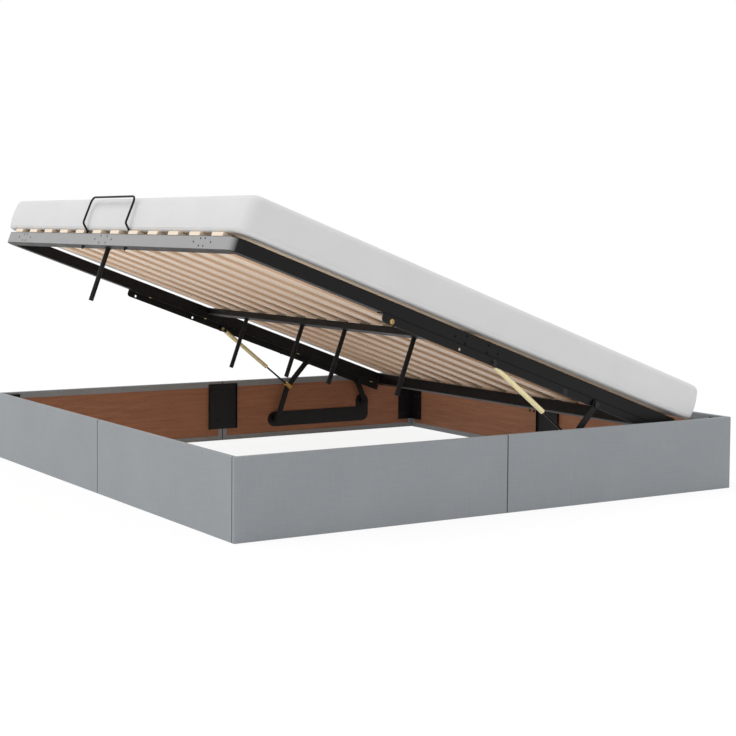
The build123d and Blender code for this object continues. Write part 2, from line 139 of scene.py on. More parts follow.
class BedSizes(bpy.types.PropertyGroup):
    """Sizes of the pieces that are modelled here."""

    mattress_width: length_property("Mattress width", "Across the bed", 2.0)
    mattress_length: length_property("Mattress length", "From foot to head", 2.0)
    mattress_height: length_property("Mattress height", "At the side, without the crown", 0.1265)
    mattress_crown: length_property(
        "Mattress crown", "How far the middle of the top stands above its edge", 0.005)
    mattress_corner: length_property("Mattress corner", "Radius of the upright corners", 0.038)
    mattress_top_edge: length_property("Mattress top edge", "Radius of the soft upper edge", 0.026)
    mattress_foot_edge: length_property(
        "Mattress lower edge", "Radius of the soft lower edge", 0.012)
    mattress_overhang: length_property(
        "Mattress overhang", "How far it reaches past the foot tube", 0.005)
    mattress_rest: length_property(
        "Mattress rest", "Height of its underside above the frame's underside", 0.0598)
    seam_cord: length_property("Seam cord", "Radius of the taped seam round the mattress", 0.0020)
    seam_height: length_property("Seam height", "Height of the seam above the underside", 0.013)
    screw_head: length_property("Screw head", "Radius of a pan head", 0.0042)
    staple_pitch: length_property(
        "Staple pitch", "Distance between the staples that hold the cloth", 0.062)
    weld_bead: length_property("Weld bead", "Radius of the weld beads", 0.0026)


class BedColours(bpy.types.PropertyGroup):
    """Colours of the bed's finishes."""

    cover_cloth: colour_property("Cover cloth", "Woven cloth on the base", "#8C9094")
    cover_slub: colour_property("Cover slubs", "Paler threads in the cloth", "#959A9E")
    board: colour_property("Board", "Bare board inside the base", "#9C6A4E")
    powder_coat: colour_property("Powder coat", "Black steel parts", "#0B0A0A")
    # painted reflection: the grey painted on the foot rail's front face in place of a reflection
    foot_rail_reflection: colour_property("Foot rail face", "Satin grey face of the foot rail", "#9B9B9B")
    slat: colour_property("Slat", "Birch slats", "#FFECD8")
    slat_grain: colour_property("Slat grain", "Darker grain of the birch", "#F4D6BA")
    slat_holder: colour_property("Slat holder", "Moulded end caps", "#E6D6C2")
    ticking: colour_property("Ticking", "Knitted mattress cloth", "#D4D4D4")
    underside: colour_property("Mattress underside", "Cream cloth under the mattress", "#E8D3B8")
    bolt: colour_property("Bolt", "Yellow zinc on screws, staples and pins", "#B9A673")
    black_bolt: colour_property(
        "Black bolt", "Black zinc on nuts, washers and pivot bolts", "#403E3C")
    gas_enamel: colour_property("Gas spring enamel", "Pale yellow bodies", "#F2E3AE")
    brass: colour_property("Brass", "Forked ends of the gas springs", "#C9A25A")
    rubber: colour_property("Rubber", "End caps of the legs", "#161616")


class BedScene(bpy.types.PropertyGroup):
    """Light of the stage."""

    key_strength: strength_property("Key light", "Strength of the soft sun from the foot end", 1.25)
    sky_strength: strength_property("Sky light", "Strength of the even light all round", 0.78)
    floor_glow: strength_property(
        "Floor glow", "Share of the floor's white that lights the bed", 0.12, max=1.0)


# Shader nodes
def add(material, kind, inputs=None, **settings):
    """One shader node, its own settings, and a number or another node's output for each input."""
    tree = material.node_tree
    made = tree.nodes.new(kind)
    for name, value in settings.items():
        setattr(made, name, value)
    for name, value in (inputs or {}).items():
        if isinstance(value, bpy.types.NodeSocket):
            tree.links.new(value, made.inputs[name])
        else:
            made.inputs[name].default_value = value
    return made


def new_material(name):
    """An empty node material."""
    material = bpy.data.materials.new(name)
    material.use_nodes = True
    material.node_tree.nodes.clear()
    return material


def finish_with(material, shader):
    """Joins a shader to the material's output."""
    add(material, "ShaderNodeOutputMaterial", {"Surface": shader.outputs[0]})
    return material


def principled(material, inputs):
    """Finishes the material with one Principled shader."""
    return finish_with(material, add(material, "ShaderNodeBsdfPrincipled", inputs))


def place_mm(material, turn=0.0, scale=(1.0, 1.0, 1.0)):
    """Places on the piece in millimetres, turned about X and scaled for a pattern."""
    place = add(material, "ShaderNodeTexCoord").outputs["Object"]
    turned = add(material, "ShaderNodeMapping",
                 {"Vector": place, "Rotation": (turn, 0.0, 0.0),
                  "Scale": (1000.0, 1000.0, 1000.0)}).outputs[0]
    return stretch(material, turned, scale)


def stretch(material, place, scale):
    """Places multiplied by a scale for each axis."""
    return add(material, "ShaderNodeVectorMath", {0: place, 1: scale},
               operation="MULTIPLY").outputs[0]


def maths(material, operation, *values):
    """The result of one sum."""
    return add(material, "ShaderNodeMath", dict(enumerate(values)), operation=operation).outputs[0]


def noise(material, place, scale, detail, **inputs):
    """A soft random pattern."""
    inputs.update({"Vector": place, "Scale": scale, "Detail": detail})
    return add(material, "ShaderNodeTexNoise", inputs).outputs[0]


def wave(material, place, period, direction, distortion, **inputs):
    """Even lines that repeat once in this many millimetres."""
    # a Wave texture of scale 1 repeats every 0.314159 of its places
    scale = 0.314159 / period
    inputs.update({"Vector": place, "Scale": scale, "Distortion": distortion})
    return add(material, "ShaderNodeTexWave", inputs, bands_direction=direction).outputs[1]


def facing(material, direction, which="Normal"):
    """How far the surface faces a direction, from 1 to -1."""
    normal = add(material, "ShaderNodeNewGeometry").outputs[which]
    return add(material, "ShaderNodeVectorMath", {0: normal, 1: tuple(direction)},
               operation="DOT_PRODUCT").outputs["Value"]


def blend_colour(material, share, low, high):
    """A colour between two, by a share from 0 to 1."""
    return add(material, "ShaderNodeMix", {0: share, 6: low, 7: high}, data_type="RGBA").outputs[2]


def to_range(material, value, old, new):
    """A number moved from one range to another, and held in it."""
    return add(material, "ShaderNodeMapRange",
               {"Value": value, "From Min": old[0], "From Max": old[1],
                "To Min": new[0], "To Max": new[1]}).outputs[0]


def bumps(material, height, strength, distance, **inputs):
    """The surface's normal with small bumps on it, their distance in metres."""
    inputs.update({"Height": height, "Strength": strength, "Distance": distance})
    return add(material, "ShaderNodeBump", inputs).outputs[0]


def toned(colour, share):
    """A colour made darker or paler."""
    return tuple(min(1.0, c * share) for c in colour[:3]) + (1.0,)


# Materials
def woven_cover_cloth(colours):
    """Woven polyester upholstery cloth, piece dyed: matt, with crossed slub threads."""
    material = new_material("woven_upholstery_cloth")
    x, y, z = add(material, "ShaderNodeSeparateXYZ", {0: place_mm(material)}).outputs
    level = maths(material, "ADD", x, y)
    flat = add(material, "ShaderNodeCombineXYZ", {0: level, 1: 0.0, 2: z}).outputs[0]
    # real threads are 0.7 mm apart, which the render can't show, so they are drawn 3 mm apart
    thread = {"Detail": 1.0, "Detail Scale": 0.05}
    warp = wave(material, flat, 3.0, "X", 1.5, **thread)
    weft = wave(material, flat, 3.0, "Z", 1.5, **thread)
    weave = maths(material, "MAXIMUM", warp, weft)
    # slubs are 70 to 90 mm long and 4 mm wide, along and upright
    along = stretch(material, flat, (1 / 90, 0.0, 1 / 4))
    upright = stretch(material, flat, (1 / 4, 0.0, 1 / 70))
    slubs = maths(material, "ADD", noise(material, along, 1.0, 3.0),
                  noise(material, upright, 1.0, 3.0))
    tone = maths(material, "ADD", slubs, noise(material, flat, 1 / 260, 2.0))
    paler = to_range(material, tone, (1.15, 1.85), (0.0, 0.7))
    colour = blend_colour(material, paler, colours.cover_cloth, colours.cover_slub)
    # painted shade: where the cloth turns in at the seams between panels and at the corners, it is
    # darkened as if in shadow
    sideways, endways = maths(material, "ABSOLUTE", x), maths(material, "ABSOLUTE", y)
    from_middle = maths(material, "MINIMUM", sideways, endways)
    from_corner = maths(material, "ABSOLUTE",
                        maths(material, "SUBTRACT", sideways, COVER_CORNER_X))
    at_end = to_range(material, endways, COVER_END_Y, (0.0, 1.0))
    corner = maths(material, "MULTIPLY", to_range(material, from_corner, SEAM_SHADE, (1.0, 0.0)),
                   at_end)
    seam = maths(material, "MAXIMUM", to_range(material, from_middle, SEAM_SHADE, (1.0, 0.0)),
                 corner)
    colour = blend_colour(material, seam, colour, toned(colours.cover_cloth, 0.28))
    return principled(material, {
        "Base Color": colour, "Roughness": 0.9, "Sheen Weight": 0.15, "Sheen Roughness": 0.5,
        "Specular IOR Level": 0.25,
        "Normal": bumps(material, maths(material, "ADD", weave, slubs), 0.18, 0.0004)})


def bare_board(colours):
    """Engineered board, pressed, with a printed wood face: dull, with faint grain and flecks."""
    material = new_material("pressed_engineered_board")
    # grain lines are some 180 mm long and 9 mm wide, and the flecks 2.5 mm wide
    place = place_mm(material, scale=(1 / 180, 1 / 180, 1 / 9))
    grain = noise(material, place, 1.0, 6.0, Roughness=0.6, Distortion=0.6)
    flecks = noise(material, place_mm(material), 1 / 2.5, 2.0)
    tone = to_range(material, maths(material, "ADD", grain, flecks), (0.7, 1.3), (0.0, 1.0))
    colour = blend_colour(material, tone, toned(colours.board, 0.72), toned(colours.board, 1.22))
    return principled(material, {
        "Base Color": colour, "Roughness": 0.62, "Specular IOR Level": 0.35,
        "Normal": bumps(material, flecks, 0.2, 0.0003)})


def powder_coated_steel(colours, name="powder_coated_steel", rail_reflection=False):
    """Mild steel, powder coated satin black: a soft sheen, fine orange peel and a little dust."""
    material = new_material(name)
    place = place_mm(material)
    # the peel is 1.5 mm wide on the real coat and is drawn 4 mm wide to show
    peel = noise(material, place, 1 / 4, 2.0)
    dust = noise(material, place, 1 / 90, 4.0)
    colour = blend_colour(material, to_range(material, dust, (0.35, 0.75), (0.0, 0.6)),
                          colours.powder_coat, toned(colours.powder_coat, 1.9))
    if rail_reflection:
        # painted reflection: the foot rail's front face is painted grey where it faces the foot
        # end, in place of a reflection, and this ends where the corners bend
        front = to_range(material, facing(material, -ALONG), (0.62, 0.95), (0.0, 1.0))
        colour = blend_colour(material, front, colour, colours.foot_rail_reflection)
    return principled(material, {
        "Base Color": colour, "Roughness": to_range(material, dust, (0.3, 0.7), (0.42, 0.54)),
        "Specular IOR Level": 0.22, "Normal": bumps(material, peel, 0.12, 0.0003)})


def birch_slat(colours):
    """Birch plywood, bent in a press and clear lacquered: pale, with long grain and thin plies."""
    material = new_material("bent_birch_plywood")
    # grain lines run along the slat, some 260 mm long and 3 mm wide
    long_grain = place_mm(material, turn=OPEN_TILT, scale=(1 / 3, 1 / 260, 1 / 12))
    grain = noise(material, long_grain, 1.0, 5.0, Roughness=0.62, Distortion=0.4)
    cloudy = place_mm(material, turn=OPEN_TILT, scale=(1 / 60, 1 / 420, 1 / 60))
    tone = maths(material, "ADD", grain, noise(material, cloudy, 1.0, 2.0))
    face = blend_colour(material, to_range(material, tone, (0.75, 1.3), (0.0, 1.0)),
                        colours.slat, colours.slat_grain)
    # the plies are 1.3 mm thick and show on the long edges only
    plies = wave(material, place_mm(material, turn=OPEN_TILT), 2.7, "Z", 0.3)
    edge = blend_colour(material, plies, colours.slat_grain, toned(colours.slat_grain, 0.8))
    on_edge = maths(material, "ABSOLUTE", facing(material, ACROSS, "True Normal"))
    colour = blend_colour(material, to_range(material, on_edge, (0.6, 0.8), (0.0, 1.0)), face, edge)
    return principled(material, {
        "Base Color": colour, "Roughness": 0.48, "Coat Weight": 0.15, "Coat Roughness": 0.3,
        "Normal": bumps(material, grain, 0.15, 0.0003)})


def moulded_holder(colours):
    """Polypropylene, injection moulded with a spark-eroded grain: waxy, with soft highlights."""
    material = new_material("moulded_polypropylene")
    grain = noise(material, place_mm(material), 1 / 1.5, 2.0)
    colour = blend_colour(material, grain, colours.slat_holder, toned(colours.slat_holder, 1.08))
    return principled(material, {
        "Base Color": colour, "Roughness": 0.45, "Subsurface Weight": 0.05,
        "Subsurface Scale": 0.003, "Normal": bumps(material, grain, 0.15, 0.0002)})


def knitted_ticking(colours):
    """Double-knit polyester ticking over foam: matt white, with fine rows and soft unevenness."""
    material = new_material("knitted_polyester_ticking")
    place = place_mm(material, turn=OPEN_TILT)
    # knit stitches are 1.2 mm wide and are drawn 3.5 mm wide to show
    rows = wave(material, place, 3.5, "Z", 2.0, **{"Detail": 1.0, "Detail Scale": 0.08})
    cells = add(material, "ShaderNodeTexVoronoi", {"Vector": place, "Scale": 1 / 3.5}).outputs[0]
    knit = maths(material, "ADD", rows, cells)
    soft = noise(material, place, 1 / 140, 3.0)
    colour = blend_colour(material, to_range(material, soft, (0.35, 0.65), (0.0, 1.0)),
                          toned(colours.ticking, 0.97), colours.ticking)
    # the cream panel under it ends short of the sides, where the white border wraps round
    reach = add(material, "ShaderNodeSeparateXYZ", {0: place}).outputs[0]
    inside = to_range(material, maths(material, "ABSOLUTE", reach), PANEL_EDGE, (1.0, 0.0))
    below = to_range(material, facing(material, -UPWARD), (0.85, 0.97), (0.0, 1.0))
    colour = blend_colour(material, maths(material, "MULTIPLY", below, inside), colour,
                          colours.underside)
    fine = bumps(material, knit, 0.18, 0.0004)
    return principled(material, {
        "Base Color": colour, "Roughness": 0.92, "Sheen Weight": 0.2, "Sheen Roughness": 0.6,
        "Specular IOR Level": 0.2, "Normal": bumps(material, soft, 0.35, 0.002, Normal=fine)})


def cloudy_metal(material, bright, shade, rough):
    """A plated metal with cloudy patches 5 mm wide, between a colour and a darker shade of it."""
    cloud = noise(material, place_mm(material), 1 / 5, 3.0)
    return principled(material, {
        "Base Color": blend_colour(material, cloud, toned(bright, shade), bright), "Metallic": 1.0,
        "Roughness": to_range(material, cloud, (0.3, 0.7), rough)})


def plated_bolt(colours):
    """Steel, zinc plated and yellow passivated: a warm metal with cloudy patches."""
    return cloudy_metal(new_material("yellow_zinc_plated_steel"), colours.bolt, 0.7, (0.28, 0.42))


def black_plated_bolt(colours):
    """Steel, zinc plated and black passivated: a dark metal that catches light on its rims."""
    return cloudy_metal(new_material("black_zinc_plated_steel"), colours.black_bolt, 0.6,
                        (0.30, 0.46))


def cast_brass(colours):
    """Brass, cast and tumbled: golden, with a faintly grained satin surface."""
    material = new_material("tumbled_cast_brass")
    grain = noise(material, place_mm(material), 1 / 2, 3.0)
    return principled(material, {
        "Base Color": blend_colour(material, grain, toned(colours.brass, 0.75), colours.brass),
        "Metallic": 1.0, "Roughness": 0.34, "Normal": bumps(material, grain, 0.2, 0.0002)})


def gas_spring_enamel(colours):
    """Drawn steel tube, wet painted in pale yellow enamel: smooth, with faint handling marks."""
    material = new_material("pale_yellow_enamel")
    marks = noise(material, place_mm(material), 1 / 14, 5.0)
    colour = blend_colour(material, to_range(material, marks, (0.4, 0.7), (0.0, 1.0)),
                          colours.gas_enamel, toned(colours.gas_enamel, 0.86))
    return principled(material, {
        "Base Color": colour, "Roughness": to_range(material, marks, (0.3, 0.7), (0.26, 0.36)),
        "Coat Weight": 0.4, "Coat Roughness": 0.12})


def nitrided_rod(colours):
    """Steel rod, ground and nitrided black: a dark metal with fine grinding marks."""
    material = new_material("nitrided_steel_rod")
    lines = noise(material, place_mm(material, scale=(1 / 2, 1.0, 1.0)), 1.0, 3.0)
    colour = blend_colour(material, lines, colours.powder_coat, toned(colours.powder_coat, 2.6))
    return principled(material, {"Base Color": colour, "Metallic": 0.8, "Roughness": 0.24})


def moulded_rubber(colours):
    """Rubber, compression moulded: dull black with a dusty bloom."""
    material = new_material("moulded_rubber")
    bloom = noise(material, place_mm(material), 1 / 8, 4.0)
    colour = blend_colour(material, to_range(material, bloom, (0.45, 0.8), (0.0, 1.0)),
                          colours.rubber, toned(colours.rubber, 2.4))
    return principled(material, {"Base Color": colour, "Roughness": 0.75,
                                 "Specular IOR Level": 0.3})


FINISHES = {
    "grey_cloth": woven_cover_cloth, "board": bare_board, "black_steel": powder_coated_steel,
    "frame_steel": powder_coated_steel, "birch": birch_slat, "cream_plastic": moulded_holder,
    "mattress_cloth": knitted_ticking, "bare_steel": plated_bolt, "gas_yellow": gas_spring_enamel,
    "black_bolt": black_plated_bolt, "rod_black": nitrided_rod, "gold_brass": cast_brass,
    "black_rubber": moulded_rubber,
}


def finish_for(slot):
    """The material of one of the record's slots, or of the black bolts, made once."""
    key = "finish_" + slot
    if key not in bpy.context.scene:
        bpy.context.scene[key] = FINISHES[slot](bpy.context.scene.bed_colours).name
    return bpy.data.materials[bpy.context.scene[key]]


def give(node, material):
    """Gives one of the frame's own nodes a material."""
    NODES[node].data.materials.clear()
    NODES[node].data.materials.append(material)


def dress(*slots):
    """Gives the frame's own nodes of these slots their finish."""
    found = [name for name, slot in SLOT_OF.items() if slot in slots and name in NODES]
    if not found:
        raise RuntimeError(f"the frame has no node with a slot of {slots}")
    for name in found:
        give(name, finish_for(SLOT_OF[name]))


# Mesh helpers. A shape is a list of vertices and a list of faces.
BEAD_GUIDE = (0.13, 0.97, 0.21)     # a direction that no bead or cord runs along


def new_piece(name, vertices, faces, body, slot, smooth=False, finish=None):
    """A mesh piece that rides on a body and takes its slot's finish or another."""
    mesh = bpy.data.meshes.new(name)
    mesh.from_pydata([tuple(v) for v in vertices], [], faces)
    if mesh.validate():
        raise RuntimeError(f"the mesh of {name} was not sound")
    mesh.polygons.foreach_set("use_smooth", [smooth] * len(mesh.polygons))
    piece = bpy.data.objects.new(name, mesh)
    bpy.context.scene.collection.objects.link(piece)
    mesh.materials.append(finish_for(finish or slot))
    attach(piece, body)
    return piece


def frame_of(axis, upright=(0.0, 0.0, 1.0)):
    """A turn that lays local Z along an axis."""
    z = Vector(axis).normalized()
    guide = Vector(upright) if abs(z.dot(Vector(upright))) < 0.95 else Vector((1.0, 0.0, 0.0))
    x = guide.cross(z).normalized()
    return Matrix((x, z.cross(x), z)).transposed()


def joined(shapes):
    """Several shapes as one."""
    vertices, faces = [], []
    for shape in shapes:
        first = len(vertices)
        vertices += [Vector(v) for v in shape[0]]
        faces += [tuple(first + i for i in face) for face in shape[1]]
    return vertices, faces


def copies(shape, places):
    """A copy of a shape at each place and turn, as one shape."""
    return joined([([Vector(origin) + turn @ Vector(v) for v in shape[0]], shape[1])
                   for origin, turn in places])


def ring_round(radius, height, sides):
    """The points of a ring round local Z."""
    return [(radius * cos(2 * pi * i / sides), radius * sin(2 * pi * i / sides), height)
            for i in range(sides)]


def stacked(rings, closed=True):
    """A shape that joins rings of equal length, the last one closed over."""
    size = len(rings[0])
    vertices = [v for ring in rings for v in ring]
    faces = []
    for level in range(len(rings) - 1):
        a, b = level * size, (level + 1) * size
        faces += [(a + i, a + (i + 1) % size, b + (i + 1) % size, b + i) for i in range(size)]
    if closed:
        faces.append(tuple(len(vertices) - size + i for i in range(size)))
    return vertices, faces


def pan_head(radius):
    """A domed screw head with a crossed recess, on its washer, standing on local Z."""
    sides = 16
    outline = ((1.35, -0.05), (1.35, 0.10), (1.30, 0.15), (1.02, 0.16),
               (1.0, 0.30), (0.92, 0.46), (0.72, 0.57))
    rings = [ring_round(radius * reach, radius * height, sides) for reach, height in outline]
    for depth, shrink in ((0.6, 1.0), (0.28, 0.75)):
        ring = []
        for i in range(sides):
            reach = radius * shrink * (0.58 if i % 4 == 0 else 0.24)
            a = 2 * pi * i / sides
            ring.append((reach * cos(a), reach * sin(a), radius * depth))
        rings.append(ring)
    return stacked(rings)


def washer(inner, outer, thickness):
    """A flat ring with eased edges, standing on local Z."""
    outline = ((inner, -0.2), (inner, 0.8), (inner * 1.04, 1.0),
               (outer * 0.96, 1.0), (outer, 0.8), (outer, -0.2))
    rings = [ring_round(reach, thickness * height, 28) for reach, height in outline]
    rings.append(rings[0])
    return stacked(rings, closed=False)


def hexagon_nut(size, height):
    """A six-sided nut with the end of its bolt in the middle, standing on local Z."""
    # each ring's reach, its level, and how much of the hexagon's corners it has
    outline = ((1.0, -0.1, 1.0), (1.0, 0.86, 1.0), (0.92, 1.0, 0.6), (0.62, 1.0, 0.0),
               (0.60, 0.9, 0.0), (0.58, 1.22, 0.0), (0.50, 1.30, 0.0))
    rings = []
    for reach, level, corner in outline:
        ring = []
        for i in range(24):
            a = 2 * pi * i / 24
            flat_reach = cos(pi / 6) / cos((a % (pi / 3)) - pi / 6)
            grown = size * reach * (1.0 + corner * (flat_reach - 1.0))
            ring.append((grown * cos(a), grown * sin(a), height * level))
        rings.append(ring)
    return stacked(rings)


def staple(width=0.010, wire=0.0007):
    """A wire staple's crown with its two shoulders turned in, lying along local X."""
    half = width / 2
    path = [(-half, -wire), (-half, wire * 0.5), (-half + wire, wire * 1.1),
            (half - wire, wire * 1.1), (half, wire * 0.5), (half, -wire)]
    rings = []
    for x, z in path:
        on_crown = abs(x) < half - wire / 2
        ring = []
        for k in range(6):
            a = 2 * pi * k / 6
            lean = wire * cos(a)
            ring.append((x, wire * sin(a), z + lean) if on_crown else (x + lean, wire * sin(a), z))
        rings.append(ring)
    vertices, faces = stacked(rings, closed=False)
    faces += [tuple(range(6)), tuple(range(len(vertices) - 1, len(vertices) - 7, -1))]
    return vertices, faces


def bead_along(points, radius, closed=False, ripple=0.18):
    """A weld bead or a sewn cord along points, a little thicker and thinner as it goes."""
    sides, rings = 8, []
    count = len(points)
    for i, point in enumerate(points):
        ahead = points[(i + 1) % count] if closed or i < count - 1 else point
        behind = points[i - 1] if closed or i else point
        turn = frame_of(ahead - behind, BEAD_GUIDE)
        size = radius * (1 + ripple * sin(i * 2.1))
        rings.append([point + turn @ Vector(v) for v in ring_round(size, 0.0, sides)])
    if closed:
        rings.append(rings[0])
        return stacked(rings, closed=False)
    vertices, faces = stacked(rings)
    faces.append(tuple(range(sides - 1, -1, -1)))
    return vertices, faces


# Mattress
def mattress_middle(sizes):
    """The middle of the mattress along the platform, in millimetres."""
    return sizes.mattress_length / MM / 2 - sizes.mattress_overhang / MM


def mattress_ring(sizes, level, inset, steps=12):
    """One outline of the mattress at a height above its underside."""
    half_x = sizes.mattress_width / MM / 2 - inset
    half_s = sizes.mattress_length / MM / 2 - inset
    middle = mattress_middle(sizes)
    radius = max(sizes.mattress_corner / MM - inset * 0.8, 14.0)
    ring = []
    for corner, (side_x, side_s) in enumerate(MATTRESS_CORNERS):
        centre = side_x * (half_x - radius), side_s * (half_s - radius)
        for step in range(steps + 1):
            a = pi / 2 * (corner + step / steps)
            ring.append((centre[0] + radius * cos(a), middle + centre[1] + radius * sin(a)))
        next_x, next_s = MATTRESS_CORNERS[(corner + 1) % 4]
        turn = pi / 2 * (corner + 1)
        start = Vector(ring[-1])
        end = Vector((next_x * (half_x - radius), middle + next_s * (half_s - radius)))
        end += Vector((radius * cos(turn), radius * sin(turn)))
        for step in range(1, 40):
            # the sides draw in a little between the corners
            share = step / 40
            point = start.lerp(end, share)
            draw = 2.5 * sin(pi * share) ** 0.6
            ring.append((point.x - draw * cos(turn), point.y - draw * sin(turn)))
    return [on_platform(x, s, sizes.mattress_rest / MM + level) for x, s in ring]


def mattress_shape(sizes):
    """The mattress as a crowned closed form with soft edges and slightly full sides."""
    height = sizes.mattress_height / MM
    top, low = sizes.mattress_top_edge / MM, sizes.mattress_foot_edge / MM
    crown = sizes.mattress_crown / MM
    draw, rings = 4.0, []
    for inset in (985, 800, 600, 420, 260, 150, 90, 55):
        rings.append(mattress_ring(sizes, 0.0, draw + inset))
    for step in range(7):
        a = pi / 2 * step / 6
        rings.append(mattress_ring(sizes, low * (1 - cos(a)), draw + low * (1 - sin(a))))
    for share in (0.2, 0.4, 0.6, 0.8):
        level = low + (height - top - low) * share
        rings.append(mattress_ring(sizes, level, draw * (1 - sin(pi * share) ** 0.8)))
    for step in range(9):
        a = pi / 2 * step / 8
        rings.append(mattress_ring(sizes, height - top * (1 - sin(a)), draw + top * (1 - cos(a))))
    for inset in (60, 95, 150, 230, 340, 480, 640, 820, 985):
        share = min(1.0, (inset - top) / 420)
        rings.append(mattress_ring(sizes, height + crown * share * (2 - share), draw + inset))
    vertices, faces = stacked(rings)
    faces.append(tuple(range(len(rings[0]) - 1, -1, -1)))
    return vertices, faces


def swell(piece, sizes, cap=0.004, frames=20):
    """Lets the cover fill out under light pressure, held near its form and flat where it rests."""
    mesh = piece.data
    started = [v.co.copy() for v in mesh.vertices]
    cloth = piece.modifiers.new("fill", "CLOTH")
    cloth.settings.use_pressure = True
    cloth.settings.uniform_pressure_force = 4.0
    cloth.settings.effector_weights.gravity = 0.0
    cloth.settings.quality = 4
    cloth.collision_settings.use_collision = False
    cloth.point_cache.frame_start, cloth.point_cache.frame_end = 1, frames
    for number in range(1, frames + 1):
        bpy.context.scene.frame_set(number)
    graph = bpy.context.evaluated_depsgraph_get()
    filled = piece.evaluated_get(graph).to_mesh()
    moved = [v.co.copy() for v in filled.vertices]
    piece.evaluated_get(graph).to_mesh_clear()
    piece.modifiers.remove(cloth)
    bpy.context.scene.frame_set(1)
    if len(moved) != len(started):
        raise RuntimeError("the mattress changed its number of points while it filled")
    rest = sizes.mattress_rest / MM
    for vertex, start, end in zip(mesh.vertices, started, moved):
        step = end - start
        if step.length > cap:
            step = step.normalized() * cap
        x, s, n = from_platform(start + step)
        vertex.co = on_platform(x, s, max(n, rest))
    mesh.update()


class BED_OT_mattress(bpy.types.Operator):
    """Make the mattress and its taped seam, and lay it on the slats"""

    bl_idname = "bed.mattress"
    bl_label = "Mattress"

    def execute(self, context):
        sizes = context.scene.bed_sizes
        piece = new_piece("mattress_cover", *mattress_shape(sizes), "platform", "mattress_cloth",
                          smooth=True)
        swell(piece, sizes)
        places = [v.co for v in piece.data.vertices]
        sides = [tuple(p.vertices) for p in piece.data.polygons if abs(p.normal.dot(UPWARD)) < 0.9]
        surface = BVHTree.FromPolygons(places, sides)
        even = piece.modifiers.new("round", "SUBSURF")
        even.levels = even.render_levels = 1
        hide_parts("mattress")

        # the seam lies on the sides, which are looked for from outside
        middle = mattress_middle(sizes)
        points = []
        for point in mattress_ring(sizes, sizes.seam_height / MM, 0.0, steps=8):
            x, s, n = from_platform(point)
            outward = Vector((x, s - middle))
            target = on_platform(x * 0.9, middle + (s - middle) * 0.9, n)
            start = on_platform(x + outward.x * 0.02, s + outward.y * 0.02, n)
            place, normal = surface.ray_cast(start, (target - start).normalized())[:2]
            if place is None:
                raise RuntimeError("the seam found no mattress side")
            points.append(place - normal * sizes.seam_cord * SEAM_SUNK)
        cord = bead_along(points, sizes.seam_cord, closed=True, ripple=0.05)
        new_piece("mattress_seam", *cord, "platform", "mattress_cloth", smooth=True)
        return {"FINISHED"}


class BED_OT_base(bpy.types.Operator):
    """Finish the cloth covers and bare boards of the base, and staple the turned-in cloth"""

    bl_idname = "bed.base"
    bl_label = "Base panels"

    def execute(self, context):
        dress("grey_cloth", "board")
        pitch = context.scene.bed_sizes.staple_pitch
        end_room, from_top, from_floor = 0.04, 0.014, 0.011
        places = []
        for name in NODES:
            if "_board_" not in name:
                continue
            low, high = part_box(name)
            outward = 0 if high.x - low.x < high.y - low.y else 1
            along = 1 - outward
            inner = min(abs(low[outward]), abs(high[outward]))
            sign = 1.0 if (low[outward] + high[outward]) > 0 else -1.0
            inward = Vector((0.0, 0.0, 0.0))
            inward[outward] = -sign
            level_turn = frame_of(inward)
            room = high[along] - low[along] - 2 * end_room
            count = int(room / pitch)
            for height in (high.z - from_top, low.z + from_floor):
                for number in range(count + 1):
                    spot = Vector((0.0, 0.0, height))
                    spot[outward] = sign * (inner - CLOTH)
                    spot[along] = low[along] + end_room + room * number / count
                    lean = radians(7 * sin(number * 1.7 + inner * 9))
                    places.append((spot, level_turn @ Matrix.Rotation(lean, 3, "Z")))
        if not places:
            raise RuntimeError("the frame has no boards to staple")
        new_piece("cover_staples", *copies(staple(), places), "base", "bare_steel", smooth=True)
        return {"FINISHED"}


class BED_OT_frame(bpy.types.Operator):
    """Finish the steel platform frame, and weld its legs and cross tube"""

    bl_idname = "bed.frame"
    bl_label = "Steel frame"

    def execute(self, context):
        dress("frame_steel", "black_steel", "black_rubber")
        # the foot rail's material carries a painted reflection on its front face
        give("foot_tube", powder_coated_steel(context.scene.bed_colours, "rolled_foot_rail",
                                              rail_reflection=True))
        bead = context.scene.bed_sizes.weld_bead
        shapes = []
        for x, s, n in LEGS:
            ring = [on_platform(x + step_x, s + step_s, n - 0.6)
                    for step_x, step_s, _ in ring_round(LEG_RADIUS, 0.0, 24)]
            shapes.append(bead_along(ring, bead, closed=True))
        across, up = CROSS_TUBE_S, CROSS_TUBE_N
        outline = [(s, up[0]) for s in across] + [(across[-1], n) for n in up[1:]]
        outline += [(s, up[-1]) for s in across[-2::-1]] + [(across[0], n) for n in up[-2:0:-1]]
        for side in (-1, 1):
            ring = [on_platform(side * CROSS_TUBE_END, s, n) for s, n in outline]
            shapes.append(bead_along(ring, bead * 0.8, closed=True))
        new_piece("frame_welds", *joined(shapes), "platform", "frame_steel", smooth=True)
        return {"FINISHED"}


class BED_OT_slats(bpy.types.Operator):
    """Finish the slats and their moulded holders"""

    bl_idname = "bed.slats"
    bl_label = "Slats"

    def execute(self, context):
        dress("birch", "cream_plastic")
        return {"FINISHED"}


class BED_OT_lift(bpy.types.Operator):
    """Finish the gas springs, pins and bolts of the lift mechanism"""

    bl_idname = "bed.lift"
    bl_label = "Lift mechanism"

    def execute(self, context):
        dress("bare_steel", "gas_yellow", "rod_black", "gold_brass")
        for name in ("stop_nuts", "angle_bolts", "platform_pivot_pins"):
            give(name, finish_for("black_bolt"))
        return {"FINISHED"}


